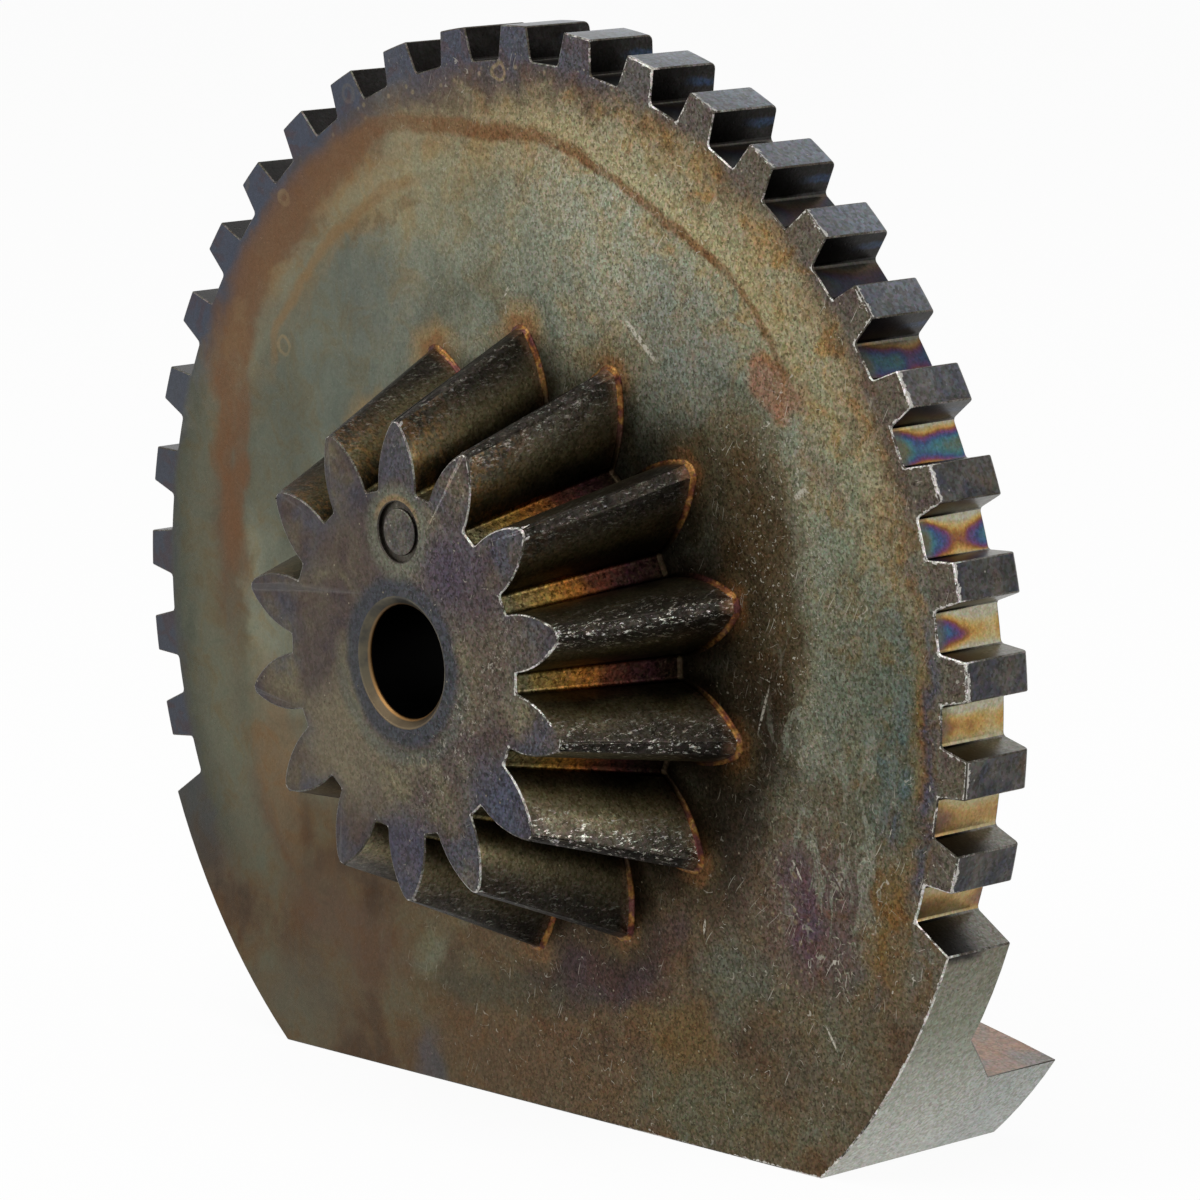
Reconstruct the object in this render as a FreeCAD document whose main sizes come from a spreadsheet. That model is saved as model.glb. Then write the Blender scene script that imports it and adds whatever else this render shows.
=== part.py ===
import FreeCAD, Part
import math
import os
import sys

import Sketcher

# A snow thrower's chute lock gear, pressed in one piece from powdered steel: a round plate with
# square lock teeth on its rim, a bevel pinion on its front, a bore through both and, along the
# flat that cuts the rim off below, a thick foot that stands out behind the plate.
# Millimetres and degrees. X is across, Y runs along the bore from the pinion to the foot, Z is up.
# The origin is on the bore's axis, in the plane of the plate's front face.

dimensions = {
    # plate
    "rim_radius": 53.3,             # the two sides without teeth
    "plate_thickness": 7.1,
    "flat_drop": 40.6,              # bore axis down to the flat
    # lock teeth
    "lock_tip_radius": 52.0,
    "lock_tooth_depth": 2.9,
    "lock_tooth_count": 25,
    "lock_pitch_angle": 8.71,
    "lock_tip_width": 3.2,
    "lock_root_width": 4.15,
    "lock_corner_radius": 0.4,      # where a gap's floor meets its sides
    # foot
    "foot_depth": 13.2,             # behind the plate's back
    "foot_end_height": 7.5,         # at the rim, above the flat
    "foot_crown_radius": 190.0,     # its arched top
    "foot_chamfer": 5.2,            # sloped inner corner between foot and plate
    # bevel pinion: the heel is its large end, at the plate, and the toe its small one
    "pinion_tooth_count": 14,
    "pinion_height": 14.1,
    "heel_tip_radius": 26.6,
    "toe_tip_radius": 20.2,
    "heel_root_radius": 19.0,
    "heel_root_width": 6.3,         # a tooth's width at the heel's root circle
    "heel_tip_width": 1.1,
    "heel_flank_radius": 11.4,
    "heel_corner_radius": 0.5,      # where a tooth space's floor meets its flanks
    # bore
    "bore_diameter": 9.6,
    "bore_chamfer": 0.7,
    # round button in a shallow ring on the pinion's face
    "button_offset": 11.0,          # above the bore's axis
    "button_diameter": 4.0,
    "ring_diameter": 5.1,
    "ring_depth": 0.4,
    "button_sink": 0.1,             # the button's top below the pinion's face
}

doc = FreeCAD.newDocument("chute_lock_gear")
sheet = doc.addObject("Spreadsheet::Sheet", "sizes")
for row, (alias, value) in enumerate(dimensions.items(), start=1):
    sheet.set(f"A{row}", alias)
    sheet.set(f"B{row}", str(value))
    sheet.setAlias(f"B{row}", alias)
doc.recompute()

body = doc.addObject("PartDesign::Body", "lock_gear")
body.Label = "lock_gear"

# every sketch's own origin lies on the bore's axis: as a constraint names it, and as a point
axis_point = (-1, 1)
axis_spot = (0.0, 0.0)

# how near two lengths are when an edge is looked for by its place
tolerance = 1e-4

# expressions on the sheet's sizes that several sketches use:
# how far a cut runs on past what it cuts,
clear = "1"
# the apex of the pinion's cone, in front of the plate's face,
apex = "sizes.pinion_height / (1 - sizes.toe_tip_radius / sizes.heel_tip_radius)"
# the radius at the roots of the lock teeth,
lock_root = "(sizes.lock_tip_radius - sizes.lock_tooth_depth)"
# and the turn from straight up to the middle of the last lock gap
last_gap = "sizes.lock_pitch_angle * 1 deg * sizes.lock_tooth_count / 2"


def value_of(expression):
    """The number that an expression on the sheet's sizes gives."""
    return float(sheet.evalExpression(expression))


def new_sketch(plane, name, forward="0", turn="0"):
    """A sketch on one of the body's planes, moved along its normal and turned about it."""
    sketch = body.newObject("Sketcher::SketchObject", name)
    support = [item for item in body.Origin.OriginFeatures if item.Role == plane][0]
    sketch.AttachmentSupport = [(support, "")]
    sketch.MapMode = "FlatFace"
    sketch.setExpression("AttachmentOffset.Base.z", forward)
    sketch.setExpression("AttachmentOffset.Rotation.Angle", turn)
    return sketch


def tie(sketch, name, expression, kind, *where):
    """A dimension of a sketch that follows an expression on the sheet's sizes."""
    index = sketch.addConstraint(Sketcher.Constraint(kind, *where, value_of(expression)))
    sketch.renameConstraint(index, name)
    sketch.setExpression(f"Constraints.{name}", expression)


def join(sketch, *meetings):
    """Ends that meet, each as (kind, one piece, its end, the other piece, its end)."""
    for meeting in meetings:
        sketch.addConstraint(Sketcher.Constraint(*meeting))


def line(start, end):
    return Part.LineSegment(FreeCAD.Vector(*start, 0), FreeCAD.Vector(*end, 0))


def arc(centre, start, end):
    """The counter-clockwise arc from start to end round a centre."""
    axis = FreeCAD.Vector(0, 0, 1)
    circle = Part.Circle(FreeCAD.Vector(*centre, 0), axis, math.dist(centre, start))
    first = math.atan2(start[1] - centre[1], start[0] - centre[0])
    last = math.atan2(end[1] - centre[1], end[0] - centre[0])
    if last < first:
        last += 2 * math.pi
    return Part.ArcOfCircle(circle, first, last)


def crossings(first, first_radius, second, second_radius):
    """The two points where two circles cross: on the left, then on the right, of first to second."""
    gap = math.dist(first, second)
    along = (gap**2 + first_radius**2 - second_radius**2) / (2 * gap)
    across = math.sqrt(first_radius**2 - along**2)
    ux = (second[0] - first[0]) / gap
    uy = (second[1] - first[1]) / gap
    middle = (first[0] + along * ux, first[1] + along * uy)
    left = (middle[0] - across * uy, middle[1] + across * ux)
    right = (middle[0] + across * uy, middle[1] - across * ux)
    return left, right


def step(start, end, distance):
    """The point at a distance from start on the way to end."""
    share = distance / math.dist(start, end)
    return (start[0] + share * (end[0] - start[0]), start[1] + share * (end[1] - start[1]))


def mirror(point):
    return (-point[0], point[1])


def bulging_side(floor_radius, corner_radius, mouth_radius, foot_spot, tip_spot, flank_radius):
    """Where a tooth space's right side runs when it is an arc: its outer end, its inner end, the
    centre of the rounded corner there and the side itself."""
    centre = crossings(foot_spot, flank_radius, tip_spot, flank_radius)[1]
    reach = flank_radius + corner_radius
    corner_spot = crossings(axis_spot, floor_radius + corner_radius, centre, reach)[0]
    inner = step(corner_spot, centre, corner_radius)
    outer = crossings(axis_spot, mouth_radius, centre, flank_radius)[0]
    return outer, inner, corner_spot, centre


def straight_side(floor_radius, corner_radius, mouth_radius, foot_spot, tip_spot):
    """The same for a side that is straight, which has no centre."""
    length = math.dist(foot_spot, tip_spot)
    ux = (tip_spot[0] - foot_spot[0]) / length
    uy = (tip_spot[1] - foot_spot[1]) / length

    def climb(start, radius):
        """From start, along the side's direction, out to a circle round the bore's axis."""
        lean = start[0] * ux + start[1] * uy
        way = -lean + math.sqrt(lean**2 - start[0] ** 2 - start[1] ** 2 + radius**2)
        return (start[0] + way * ux, start[1] + way * uy)

    inset = (foot_spot[0] - corner_radius * uy, foot_spot[1] + corner_radius * ux)
    corner_spot = climb(inset, floor_radius + corner_radius)
    inner = (corner_spot[0] + corner_radius * uy, corner_spot[1] - corner_radius * ux)
    return climb(foot_spot, mouth_radius), inner, corner_spot, None


def draw_space(sketch, floor, corner, mouth, foot, tip, flank=None):
    """The space between two teeth, symmetric about the sketch's upright axis and open outwards.
    floor, corner, mouth and flank are radii: of its floor, its rounded corners, the arc that
    closes it outside the teeth, and its bulging sides, which are straight without one. foot and
    tip are the points, as (across, up), that its right side passes through."""
    radii = [value_of(floor), value_of(corner), value_of(mouth)]
    spots = [(value_of(across), value_of(up)) for across, up in (foot, tip)]
    if flank:
        outer, inner, corner_spot, centre = bulging_side(*radii, *spots, value_of(flank))
        right_side = arc(centre, outer, inner)
        left_side = arc(mirror(centre), mirror(inner), mirror(outer))
    else:
        outer, inner, corner_spot, centre = straight_side(*radii, *spots)
        right_side = line(outer, inner)
        left_side = line(mirror(inner), mirror(outer))
    floor_end = step(axis_spot, corner_spot, radii[0])
    sketch.addGeometry(arc(axis_spot, floor_end, mirror(floor_end)))
    sketch.addGeometry(arc(corner_spot, floor_end, inner))
    sketch.addGeometry(right_side)
    sketch.addGeometry(arc(axis_spot, outer, mirror(outer)))
    sketch.addGeometry(left_side)
    sketch.addGeometry(arc(mirror(corner_spot), mirror(inner), mirror(floor_end)))
    join(
        sketch,
        ("Coincident", 0, 3, *axis_point),
        ("Coincident", 3, 3, *axis_point),
        ("Tangent", 0, 1, 1, 1),
        ("Tangent", 1, 2, 2, 2),
        ("Coincident", 2, 1, 3, 1),
        ("Coincident", 3, 2, 4, 2),
        ("Tangent", 4, 1, 5, 1),
        ("Tangent", 5, 2, 0, 2),
    )
    tie(sketch, "floor", floor, "Radius", 0)
    tie(sketch, "mouth", mouth, "Radius", 3)
    for side, side_piece, corner_piece in (("right", 2, 1), ("left", 4, 5)):
        tie(sketch, f"{side}_corner", corner, "Radius", corner_piece)
        if flank:
            tie(sketch, f"{side}_flank", flank, "Radius", side_piece)
        for place, (across, up), spot in (("foot", foot, spots[0]), ("tip", tip, spots[1])):
            if side == "left":
                spot = mirror(spot)
            mark = sketch.addGeometry(Part.Point(FreeCAD.Vector(*spot, 0)), True)
            sketch.addConstraint(Sketcher.Constraint("PointOnObject", mark, 1, side_piece))
            ends = (*axis_point, mark, 1) if side == "right" else (mark, 1, *axis_point)
            tie(sketch, f"{side}_{place}_across", across, "DistanceX", *ends)
            tie(sketch, f"{side}_{place}_up", up, "DistanceY", *axis_point, mark, 1)


def is_arc_of(edge, radius):
    return isinstance(edge.Curve, Part.Circle) and abs(edge.Curve.Radius - radius) < tolerance


def dress(kind, name, size_property, size, wanted):
    """A fillet or chamfer along the wanted edges of the body's last feature."""
    last = body.Tip
    edges = [f"Edge{number}" for number, edge in enumerate(last.Shape.Edges, start=1) if wanted(edge)]
    feature = body.newObject(kind, name)
    feature.Base = (last, edges)
    feature.setExpression(size_property, size)
    doc.recompute()


def pattern(feature, sketch, name, count, sweep):
    """Copies of a feature round the bore's axis, spread evenly over a sweep in degrees."""
    copies = body.newObject("PartDesign::PolarPattern", name)
    copies.Originals = [feature]
    copies.Axis = (sketch, ["N_Axis"])
    copies.Mode = "Extent"
    copies.setExpression("Angle", sweep)
    copies.setExpression("Occurrences", count)
    body.Tip = copies
    doc.recompute()


def pinion_blank():
    """The pinion before its teeth are formed: a cone that also reaches half into the plate."""
    sketch = new_sketch("XY_Plane", "pinion_blank_outline")
    inside = "sizes.plate_thickness / 2"
    inner_radius = f"sizes.heel_tip_radius * (1 + {inside} / ({apex}))"
    toe = value_of("sizes.pinion_height")
    spots = [
        (0, -toe),
        (value_of("sizes.toe_tip_radius"), -toe),
        (value_of(inner_radius), value_of(inside)),
        (0, value_of(inside)),
    ]
    for number, spot in enumerate(spots):
        sketch.addGeometry(line(spot, spots[(number + 1) % 4]))
    join(
        sketch,
        ("Coincident", 0, 2, 1, 1),
        ("Coincident", 1, 2, 2, 1),
        ("Coincident", 2, 2, 3, 1),
        ("Coincident", 3, 2, 0, 1),
        ("Horizontal", 0),
        ("Horizontal", 2),
        ("PointOnObject", 0, 1, -2),
        ("PointOnObject", 3, 1, -2),
    )
    tie(sketch, "height", "sizes.pinion_height", "DistanceY", 0, 1, *axis_point)
    tie(sketch, "toe", "sizes.toe_tip_radius", "DistanceX", 0, 1, 0, 2)
    tie(sketch, "inside", inside, "DistanceY", *axis_point, 3, 1)
    tie(sketch, "inner_radius", inner_radius, "DistanceX", 2, 2, 2, 1)
    blank = body.newObject("PartDesign::Revolution", "pinion_blank")
    blank.Profile = sketch
    blank.ReferenceAxis = (sketch, ["V_Axis"])
    blank.Angle = 360
    doc.recompute()


def pinion_space_section(name, depth):
    """A tooth space cut across the pinion, at a depth in front of the plate's face. All of its
    sizes shrink together towards the cone's apex."""
    shrink = f"(1 - ({depth}) / ({apex}))"
    half_pitch = "180 deg / sizes.pinion_tooth_count"
    sketch = new_sketch("XZ_Plane", name, forward=depth, turn=half_pitch)
    marks = []
    for circle, width in (("heel_root_radius", "heel_root_width"), ("heel_tip_radius", "heel_tip_width")):
        angle = f"({half_pitch} - asin(sizes.{width} / 2 / sizes.{circle}))"
        radius = f"{shrink} * sizes.{circle}"
        marks.append((f"{radius} * sin({angle})", f"{radius} * cos({angle})"))
    draw_space(
        sketch,
        floor=f"{shrink} * sizes.heel_root_radius",
        corner=f"{shrink} * sizes.heel_corner_radius",
        mouth=f"{shrink} * (sizes.heel_tip_radius + {clear})",
        foot=marks[0],
        tip=marks[1],
        flank=f"{shrink} * sizes.heel_flank_radius",
    )
    return sketch


def pinion_teeth():
    """The tooth spaces, each one formed straight towards the apex of the cone."""
    heel = pinion_space_section("space_at_heel", f"0 - {clear}")
    toe = pinion_space_section("space_at_toe", f"sizes.pinion_height + {clear}")
    space = body.newObject("PartDesign::SubtractiveLoft", "pinion_space")
    space.Profile = heel
    space.Sections = [toe]
    space.Ruled = True
    doc.recompute()
    pattern(space, heel, "pinion_spaces", "sizes.pinion_tooth_count", "360")


def plate():
    """The blank of the rim: a smaller radius over the toothed part, a larger one on both sides
    below it, and the flat. The two radii step in the middle of the last gaps, which cut the
    step away."""
    sketch = new_sketch("XZ_Plane", "plate_outline")
    rim = value_of("sizes.rim_radius")
    tip = value_of("sizes.lock_tip_radius")
    drop = value_of("sizes.flat_drop")
    turn = math.radians(value_of(last_gap))
    inner = (tip * math.sin(turn), tip * math.cos(turn))
    outer = (rim * math.sin(turn), rim * math.cos(turn))
    corner = (math.sqrt(rim**2 - drop**2), -drop)
    sketch.addGeometry(arc(axis_spot, inner, mirror(inner)))
    sketch.addGeometry(line(mirror(inner), mirror(outer)))
    sketch.addGeometry(arc(axis_spot, mirror(outer), mirror(corner)))
    sketch.addGeometry(line(mirror(corner), corner))
    sketch.addGeometry(arc(axis_spot, corner, outer))
    sketch.addGeometry(line(outer, inner))
    join(
        sketch,
        ("Coincident", 0, 3, *axis_point),
        ("Coincident", 2, 3, *axis_point),
        ("Coincident", 4, 3, *axis_point),
        ("Coincident", 0, 2, 1, 1),
        ("Coincident", 1, 2, 2, 1),
        ("Coincident", 2, 2, 3, 1),
        ("Coincident", 3, 2, 4, 1),
        ("Coincident", 4, 2, 5, 1),
        ("Coincident", 5, 2, 0, 1),
        ("Horizontal", 3),
        ("Equal", 2, 4),
    )
    tie(sketch, "tip", "sizes.lock_tip_radius", "Radius", 0)
    tie(sketch, "rim", "sizes.rim_radius", "Radius", 4)
    tie(sketch, "drop", "sizes.flat_drop", "DistanceY", 3, 1, *axis_point)
    for name, radius, right_end, left_end in (
        ("tip_corner", "lock_tip_radius", (0, 1), (0, 2)),
        ("rim_corner", "rim_radius", (4, 2), (2, 1)),
    ):
        across = f"sizes.{radius} * cos(90 deg - {last_gap})"
        tie(sketch, f"{name}_right", across, "DistanceX", *axis_point, *right_end)
        tie(sketch, f"{name}_left", across, "DistanceX", *left_end, *axis_point)
    pad = body.newObject("PartDesign::Pad", "plate")
    pad.Profile = sketch
    pad.setExpression("Length", "sizes.plate_thickness")
    pad.Reversed = True
    doc.recompute()


def foot():
    """The foot along the flat: its ends are the rim itself and its top is a long, low arch."""
    sketch = new_sketch("XZ_Plane", "foot_outline")
    rim = value_of("sizes.rim_radius")
    drop = value_of("sizes.flat_drop")
    crown = value_of("sizes.foot_crown_radius")
    shoulder_up = value_of("sizes.foot_end_height") - drop
    corner = (math.sqrt(rim**2 - drop**2), -drop)
    shoulder = (math.sqrt(rim**2 - shoulder_up**2), shoulder_up)
    crown_spot = (0.0, shoulder_up - math.sqrt(crown**2 - shoulder[0] ** 2))
    sketch.addGeometry(line(mirror(corner), corner))
    sketch.addGeometry(arc(axis_spot, corner, shoulder))
    sketch.addGeometry(arc(crown_spot, shoulder, mirror(shoulder)))
    sketch.addGeometry(arc(axis_spot, mirror(shoulder), mirror(corner)))
    join(
        sketch,
        ("Coincident", 0, 2, 1, 1),
        ("Coincident", 1, 2, 2, 1),
        ("Coincident", 2, 2, 3, 1),
        ("Coincident", 3, 2, 0, 1),
        ("Coincident", 1, 3, *axis_point),
        ("Coincident", 3, 3, *axis_point),
        ("PointOnObject", 2, 3, -2),
        ("Horizontal", 0),
    )
    tie(sketch, "rim_right", "sizes.rim_radius", "Radius", 1)
    tie(sketch, "rim_left", "sizes.rim_radius", "Radius", 3)
    tie(sketch, "crown", "sizes.foot_crown_radius", "Radius", 2)
    tie(sketch, "drop", "sizes.flat_drop", "DistanceY", 0, 1, *axis_point)
    tie(sketch, "end_height", "sizes.foot_end_height", "DistanceY", 1, 1, 1, 2)
    pad = body.newObject("PartDesign::Pad", "foot")
    pad.Profile = sketch
    pad.setExpression("Length", "sizes.plate_thickness + sizes.foot_depth")
    pad.Reversed = True
    doc.recompute()
    back = value_of("sizes.plate_thickness")

    def is_inner_corner(edge):
        on_back = all(abs(end.Point.y - back) < tolerance for end in edge.Vertexes)
        return on_back and is_arc_of(edge, crown)

    dress("PartDesign::Chamfer", "foot_slope", "Size", "sizes.foot_chamfer", is_inner_corner)


def lock_teeth():
    """The gaps between the rim's teeth, each one straight through the plate."""
    half_pitch = "sizes.lock_pitch_angle * 1 deg / 2"
    sketch = new_sketch("XZ_Plane", "lock_gap_outline", turn=f"0 deg - {last_gap}")
    marks = []
    for radius, width in ((lock_root, "lock_root_width"), ("sizes.lock_tip_radius", "lock_tip_width")):
        angle = f"({half_pitch} - asin(sizes.{width} / 2 / {radius}))"
        marks.append((f"{radius} * sin({angle})", f"{radius} * cos({angle})"))
    draw_space(
        sketch,
        floor=lock_root,
        corner="sizes.lock_corner_radius",
        mouth=f"sizes.rim_radius + {clear}",
        foot=marks[0],
        tip=marks[1],
    )
    gap = body.newObject("PartDesign::Pocket", "lock_gap")
    gap.Profile = sketch
    gap.SideType = "Symmetric"
    gap.Type = "ThroughAll"
    doc.recompute()
    sweep = "sizes.lock_pitch_angle * sizes.lock_tooth_count"
    pattern(gap, sketch, "lock_gaps", "sizes.lock_tooth_count + 1", sweep)


def circle_sketch(name, diameters, forward="0", up="0"):
    """Round outlines about one centre, straight above the bore's axis."""
    sketch = new_sketch("XZ_Plane", name, forward=forward)
    centre = FreeCAD.Vector(0, value_of(up), 0)
    for number, diameter in enumerate(diameters):
        radius = value_of(diameter) / 2
        sketch.addGeometry(Part.Circle(centre, FreeCAD.Vector(0, 0, 1), radius))
        tie(sketch, f"diameter{number}", diameter, "Diameter", number)
        if up == "0":
            sketch.addConstraint(Sketcher.Constraint("Coincident", number, 3, *axis_point))
        else:
            sketch.addConstraint(Sketcher.Constraint("PointOnObject", number, 3, -2))
            tie(sketch, f"up{number}", up, "DistanceY", *axis_point, number, 3)
    return sketch


def bore():
    pocket = body.newObject("PartDesign::Pocket", "bore")
    pocket.Profile = circle_sketch("bore_outline", ["sizes.bore_diameter"])
    pocket.SideType = "Symmetric"
    pocket.Type = "ThroughAll"
    doc.recompute()
    radius = value_of("sizes.bore_diameter") / 2

    def is_mouth(edge):
        return is_arc_of(edge, radius)

    dress("PartDesign::Chamfer", "bore_edges", "Size", "sizes.bore_chamfer", is_mouth)


def button():
    """A ring sunk into the pinion's face and, inside it, a button that stands almost flush."""
    face = "sizes.pinion_height"
    cuts = (
        ("button_ring", ["sizes.ring_diameter", "sizes.button_diameter"], "sizes.ring_depth"),
        ("button_top", ["sizes.button_diameter"], "sizes.button_sink"),
    )
    for name, diameters, depth in cuts:
        pocket = body.newObject("PartDesign::Pocket", name)
        pocket.Profile = circle_sketch(f"{name}_outline", diameters, face, "sizes.button_offset")
        pocket.setExpression("Length", depth)
        doc.recompute()


pinion_blank()
pinion_teeth()
plate()
foot()
lock_teeth()
bore()
button()

for item in doc.Objects:
    if "Invalid" in item.State or "Error" in item.State:
        sys.exit(f"{item.Name} failed: {item.State}")
if body.Shape.isNull() or not body.Shape.isValid() or len(body.Shape.Solids) != 1:
    sys.exit("the lock gear is not one valid solid")

os.makedirs("parts", exist_ok=True)
body.Shape.exportStep(f"parts/{body.Label}.step")
box = body.Shape.optimalBoundingBox(False)
volume = body.Shape.Volume
print(f"lock gear {box.XLength:.2f} x {box.YLength:.2f} x {box.ZLength:.2f} mm, {volume:.0f} mm3")
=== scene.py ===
import math

import bmesh
import bpy
from mathutils import Matrix, Vector


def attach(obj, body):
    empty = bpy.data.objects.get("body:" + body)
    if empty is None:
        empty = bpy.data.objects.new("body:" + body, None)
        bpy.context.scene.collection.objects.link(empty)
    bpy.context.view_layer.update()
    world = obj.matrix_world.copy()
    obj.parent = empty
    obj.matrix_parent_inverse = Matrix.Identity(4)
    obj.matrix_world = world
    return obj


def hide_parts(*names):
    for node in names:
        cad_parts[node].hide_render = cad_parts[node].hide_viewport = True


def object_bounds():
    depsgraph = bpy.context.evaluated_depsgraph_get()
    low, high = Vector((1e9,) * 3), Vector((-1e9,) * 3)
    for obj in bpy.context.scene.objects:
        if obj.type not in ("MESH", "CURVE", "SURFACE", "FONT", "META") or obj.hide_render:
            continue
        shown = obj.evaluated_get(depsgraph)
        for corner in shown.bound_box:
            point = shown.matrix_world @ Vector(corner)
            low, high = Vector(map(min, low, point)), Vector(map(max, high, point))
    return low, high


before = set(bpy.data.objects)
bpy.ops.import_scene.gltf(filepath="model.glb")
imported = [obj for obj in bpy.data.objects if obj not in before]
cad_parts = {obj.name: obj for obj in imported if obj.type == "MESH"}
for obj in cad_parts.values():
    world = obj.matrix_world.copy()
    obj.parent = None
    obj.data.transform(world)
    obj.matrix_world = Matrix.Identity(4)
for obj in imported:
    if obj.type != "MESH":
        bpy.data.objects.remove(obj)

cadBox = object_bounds()
mm = 0.001
print("frame loaded")

# the gear's own measures, in millimetres and degrees, that the finishes and the mesh follow
gearSizes = {
    "toeFace": -14.1,          # y of the pinion's small face
    "plateBack": 7.1,
    "flat": -40.6,
    "tipRadius": 52.0,
    "rootRadius": 49.1,
    "rimRadius": 53.3,
    "lockPitch": 8.71,
    "rootWidth": 4.15,         # of a lock tooth
    "gapHalf": 1.65,           # half of a gap's width at its floor
    "lockTaper": 0.164,        # what half its width loses to each millimetre outwards
    "lastGap": 12.5,           # in pitches from the top
    "lastWall": 12.722,
    "coneApex": 58.6,          # in front of the plate
    "heelTip": 26.6,
    "heelRoot": 19.0,
    "heelRootWidth": 6.3,
    "heelTipWidth": 1.1,
    "flankRadius": 11.4,
    "pinionTeeth": 14,
    "boreMouth": 5.5,
    "buttonHeight": 11.0,
    "ringRadius": 2.55,        # of the groove round the button
}


def pick(sockets, name):
    return [each for each in sockets if name in (each.identifier, each.name)][0]


def length(across, up):
    return (across * across + up * up) ** 0.5


class Wire:
    # one output of a node; sums, products and comparisons on it add Math nodes
    def __init__(self, board, socket):
        self.board = board
        self.socket = socket

    def output(self, name):
        return Wire(self.board, pick(self.socket.node.outputs, name))

    def maths(self, operation, *values):
        return self.board.node("Math", {"operation": operation}, dict(enumerate(values)))

    def __add__(self, other):
        return self.maths("ADD", self, other)

    def __radd__(self, other):
        return self.maths("ADD", other, self)

    def __sub__(self, other):
        return self.maths("SUBTRACT", self, other)

    def __rsub__(self, other):
        return self.maths("SUBTRACT", other, self)

    def __mul__(self, other):
        return self.maths("MULTIPLY", self, other)

    def __rmul__(self, other):
        return self.maths("MULTIPLY", other, self)

    def __truediv__(self, other):
        return self.maths("DIVIDE", self, other)

    def __rtruediv__(self, other):
        return self.maths("DIVIDE", other, self)

    def __pow__(self, other):
        return self.maths("POWER", self, other)

    def __gt__(self, other):
        return self.maths("GREATER_THAN", self, other)

    def __lt__(self, other):
        return self.maths("LESS_THAN", self, other)

    def __abs__(self):
        return self.maths("ABSOLUTE", self)

    def orMore(self, other):
        return self.maths("MAXIMUM", self, other)

    def orLess(self, other):
        return self.maths("MINIMUM", self, other)

    def rise(self, low, high):
        # 0 below low, 1 above high and smooth between; low may be the larger
        limits = {"Value": self, "From Min": low, "From Max": high}
        kind = {"interpolation_type": "SMOOTHSTEP", "clamp": False}
        return self.board.node("MapRange", kind, limits)

    def spread(self, low, high):
        # the middle of a noise stretched out to 0..1
        limits = {"Value": self, "From Min": low, "From Max": high}
        return self.board.node("MapRange", {}, limits)


class Board:
    # a node tree under construction
    def __init__(self, tree):
        self.tree = tree
        self.tree.nodes.clear()

    def node(self, kind, settings={}, inputs={}):
        made = self.tree.nodes.new("ShaderNode" + kind)
        for name, value in settings.items():
            if name == "stops":
                self.setStops(made.color_ramp.elements, value)
            else:
                setattr(made, name, value)
        for name, value in inputs.items():
            socket = made.inputs[name] if isinstance(name, int) else pick(made.inputs, name)
            if isinstance(value, Wire):
                self.tree.links.new(value.socket, socket)
            else:
                socket.default_value = value
        return Wire(self, made.outputs[0]) if len(made.outputs) else None

    def setStops(self, elements, stops):
        while len(elements) < len(stops):
            elements.new(1)
        for element, (position, colour) in zip(elements, stops):
            element.position = position
            element.color = (*colour, 1)

    def whiteSeen(self):
        # 1 where the camera or a reflection looks, 0 where light falls
        seen = self.node("LightPath")
        direct = seen.output("Is Camera Ray").orMore(seen.output("Is Glossy Ray"))
        return direct.orMore(seen.output("Is Transmission Ray"))


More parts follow.
